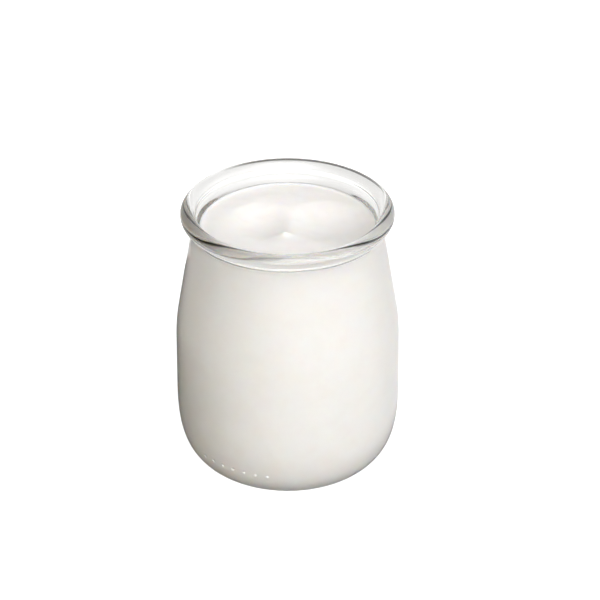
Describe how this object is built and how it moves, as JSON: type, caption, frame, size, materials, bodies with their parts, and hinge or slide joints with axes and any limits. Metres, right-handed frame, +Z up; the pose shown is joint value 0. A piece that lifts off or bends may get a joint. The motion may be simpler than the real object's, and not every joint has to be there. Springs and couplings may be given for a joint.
{
  "type": "glass pot of sour milk",
  "caption": "Small rounded clear glass pot with a beaded rim, filled close to the rim with thick white set sour milk, for serving or for a fridge shelf.",
  "frame": {"origin": "centre of the pot's base, on the surface it stands on", "axes": "+Z up along the pot's axis; -Y is the side the picture looks at, +X is its right"},
  "size_m": [0.0706, 0.0706, 0.0889],
  "materials": {
    "glass": "clear pressed soda-lime glass, glossy",
    "milk": "thick wet white curd, soft sheen"
  },
  "bodies": {
    "root": {"glass_pot": "glass", "sour_milk": "milk"}
  },
  "joints": []
}
